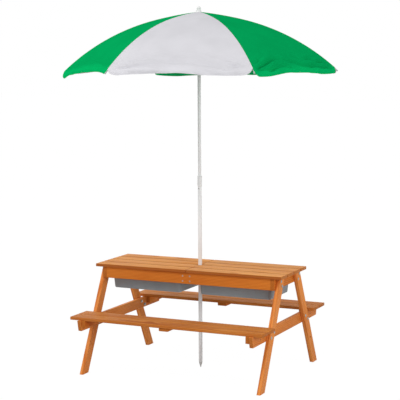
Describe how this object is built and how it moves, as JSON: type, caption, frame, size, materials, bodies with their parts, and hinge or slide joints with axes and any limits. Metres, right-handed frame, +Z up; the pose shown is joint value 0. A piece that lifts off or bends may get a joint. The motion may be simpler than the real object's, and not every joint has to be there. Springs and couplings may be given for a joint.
{
  "type": "children's picnic table with sand boxes and sunshade",
  "caption": "Wooden children's picnic table with benches, lift-off lids over lift-out play trays, and a folding sunshade on a pole through the middle.",
  "frame": {"origin": "on the floor, under the middle of the table and of the pole", "axes": "+X along the table to the right as seen from the front, +Y across it away from the front bench, +Z up"},
  "size_m": [1.2232, 1.2404, 1.69],
  "materials": {
    "timber_top": "clear stained softwood, satin",
    "timber_seats": "clear stained softwood, satin",
    "timber_frame": "clear stained softwood, satin",
    "timber_legs": "clear stained softwood, satin",
    "plated_steel": "zinc plated",
    "box_plastic": "moulded, light satin",
    "pole_paint": "white powder coat",
    "white_plastic": "moulded, gloss",
    "spike_plastic": "moulded, satin",
    "rib_steel": "light grey coated wire",
    "canopy_green": "woven, plain",
    "canopy_white": "woven, plain"
  },
  "bodies": {
    "frame": {"apron_front": "timber_frame", "box_ledge_front": "timber_frame", "leg_front_left": "timber_legs", "leg_front_right": "timber_legs", "bench_front_inner_slat": "timber_seats", "bench_front_outer_slat": "timber_seats", "apron_back": "timber_frame", "box_ledge_back": "timber_frame", "leg_back_left": "timber_legs", "leg_back_right": "timber_legs", "bench_back_inner_slat": "timber_seats", "bench_back_outer_slat": "timber_seats", "end_rail_left": "timber_frame", "seat_beam_left": "timber_frame", "end_rail_right": "timber_frame", "seat_beam_right": "timber_frame", "centre_board": "timber_frame", "seat_cleats": "timber_frame", "bench_battens": "timber_frame", "leg_bolts": "plated_steel", "leg_washers": "plated_steel", "leg_nuts": "plated_steel"},
    "box_left": {"sand_box_left": "box_plastic"},
    "lid_left": {"lid_left_slat_1": "timber_top", "lid_left_slat_2": "timber_top", "lid_left_slat_3": "timber_top", "lid_left_slat_4": "timber_top", "lid_left_battens": "timber_frame"},
    "box_right": {"sand_box_right": "box_plastic"},
    "lid_right": {"lid_right_slat_1": "timber_top", "lid_right_slat_2": "timber_top", "lid_right_slat_3": "timber_top", "lid_right_slat_4": "timber_top", "lid_right_battens": "timber_frame"},
    "lower_pole": {"lower_pole": "pole_paint", "ground_spike": "spike_plastic", "pole_collar": "white_plastic"},
    "button": {"lock_button": "plated_steel"},
    "upper_pole": {"upper_pole": "pole_paint", "crown_hub": "white_plastic", "crown_knob": "white_plastic", "rib_pins": "rib_steel", "canopy_green": "canopy_green", "canopy_white": "canopy_white"},
    "runner": {"runner": "white_plastic"},
    "rib_1": {"rib_1": "rib_steel"},
    "stretcher_1": {"stretcher_1": "rib_steel"},
    "rib_2": {"rib_2": "rib_steel"},
    "stretcher_2": {"stretcher_2": "rib_steel"},
    "rib_3": {"rib_3": "rib_steel"},
    "stretcher_3": {"stretcher_3": "rib_steel"},
    "rib_4": {"rib_4": "rib_steel"},
    "stretcher_4": {"stretcher_4": "rib_steel"},
    "rib_5": {"rib_5": "rib_steel"},
    "stretcher_5": {"stretcher_5": "rib_steel"},
    "rib_6": {"rib_6": "rib_steel"},
    "stretcher_6": {"stretcher_6": "rib_steel"}
  },
  "joints": [
    {"name": "box_lift_left", "type": "slide", "parent": "frame", "child": "box_left", "axis": [0, 0, 1], "range_m": [0, 0.1]},
    {"name": "box_lift_right", "type": "slide", "parent": "frame", "child": "box_right", "axis": [0, 0, 1], "range_m": [0, 0.1]},
    {"name": "lid_lift_left", "type": "slide", "parent": "box_left", "child": "lid_left", "axis": [0, 0, 1], "range_m": [0, 0.2]},
    {"name": "lid_lift_right", "type": "slide", "parent": "box_right", "child": "lid_right", "axis": [0, 0, 1], "range_m": [0, 0.2]},
    {"name": "shade_lift", "type": "slide", "parent": "frame", "child": "lower_pole", "axis": [0, 0, 1], "range_m": [0, 0.5]},
    {"name": "button_press", "type": "slide", "parent": "lower_pole", "child": "button", "axis": [0, 1, 0], "range_m": [0, 0.003], "stiffness_N_per_m": 500},
    {"name": "pole_extend", "type": "slide", "parent": "lower_pole", "child": "upper_pole", "axis": [0, 0, 1], "range_m": [0, 0.055]},
    {"name": "runner_slide", "type": "slide", "parent": "upper_pole", "child": "runner", "axis": [0, 0, -1], "range_m": [0, 0.38933], "deforming": ["canopy_green", "canopy_white"]},
    {"name": "rib_fold_1", "type": "hinge", "parent": "upper_pole", "child": "rib_1", "pos_m": [0.01438, 0.00426, 1.652], "axis": [-0.284, 0.9588, 0], "range_deg": [0, 60.5]},
    {"name": "stretcher_fold_1", "type": "hinge", "parent": "rib_1", "child": "stretcher_1", "pos_m": [0.29701, 0.08798, 1.58399], "axis": [0.284, -0.9588, 0], "range_deg": [0, 107.75]},
    {"name": "rib_fold_2", "type": "hinge", "parent": "upper_pole", "child": "rib_2", "pos_m": [0.0035, 0.01459, 1.652], "axis": [-0.9724, 0.2334, 0], "range_deg": [0, 60.5]},
    {"name": "stretcher_fold_2", "type": "hinge", "parent": "rib_2", "child": "stretcher_2", "pos_m": [0.07231, 0.30121, 1.58399], "axis": [0.9724, -0.2334, 0], "range_deg": [0, 107.75]},
    {"name": "rib_fold_3", "type": "hinge", "parent": "upper_pole", "child": "rib_3", "pos_m": [-0.01088, 0.01033, 1.652], "axis": [-0.6884, -0.7254, 0], "range_deg": [0, 60.5]},
    {"name": "stretcher_fold_3", "type": "hinge", "parent": "rib_3", "child": "stretcher_3", "pos_m": [-0.2247, 0.21323, 1.58399], "axis": [0.6884, 0.7254, 0], "range_deg": [0, 107.75]},
    {"name": "rib_fold_4", "type": "hinge", "parent": "upper_pole", "child": "rib_4", "pos_m": [-0.01438, -0.00426, 1.652], "axis": [0.284, -0.9588, 0], "range_deg": [0, 60.5]},
    {"name": "stretcher_fold_4", "type": "hinge", "parent": "rib_4", "child": "stretcher_4", "pos_m": [-0.29701, -0.08798, 1.58399], "axis": [-0.284, 0.9588, 0], "range_deg": [0, 107.75]},
    {"name": "rib_fold_5", "type": "hinge", "parent": "upper_pole", "child": "rib_5", "pos_m": [-0.0035, -0.01459, 1.652], "axis": [0.9724, -0.2334, 0], "range_deg": [0, 60.5]},
    {"name": "stretcher_fold_5", "type": "hinge", "parent": "rib_5", "child": "stretcher_5", "pos_m": [-0.07231, -0.30121, 1.58399], "axis": [-0.9724, 0.2334, 0], "range_deg": [0, 107.75]},
    {"name": "rib_fold_6", "type": "hinge", "parent": "upper_pole", "child": "rib_6", "pos_m": [0.01088, -0.01033, 1.652], "axis": [0.6884, 0.7254, 0], "range_deg": [0, 60.5]},
    {"name": "stretcher_fold_6", "type": "hinge", "parent": "rib_6", "child": "stretcher_6", "pos_m": [0.2247, -0.21323, 1.58399], "axis": [-0.6884, -0.7254, 0], "range_deg": [0, 107.75]}
  ],
  "couplings": [
    {"joint": "rib_fold_1", "follows": "runner_slide", "rad_per_m": 2.6897},
    {"joint": "stretcher_fold_1", "follows": "runner_slide", "rad_per_m": 4.8077},
    {"joint": "rib_fold_2", "follows": "runner_slide", "rad_per_m": 2.6897},
    {"joint": "stretcher_fold_2", "follows": "runner_slide", "rad_per_m": 4.8077},
    {"joint": "rib_fold_3", "follows": "runner_slide", "rad_per_m": 2.6897},
    {"joint": "stretcher_fold_3", "follows": "runner_slide", "rad_per_m": 4.8077},
    {"joint": "rib_fold_4", "follows": "runner_slide", "rad_per_m": 2.6897},
    {"joint": "stretcher_fold_4", "follows": "runner_slide", "rad_per_m": 4.8077},
    {"joint": "rib_fold_5", "follows": "runner_slide", "rad_per_m": 2.6897},
    {"joint": "stretcher_fold_5", "follows": "runner_slide", "rad_per_m": 4.8077},
    {"joint": "rib_fold_6", "follows": "runner_slide", "rad_per_m": 2.6897},
    {"joint": "stretcher_fold_6", "follows": "runner_slide", "rad_per_m": 4.8077}
  ]
}
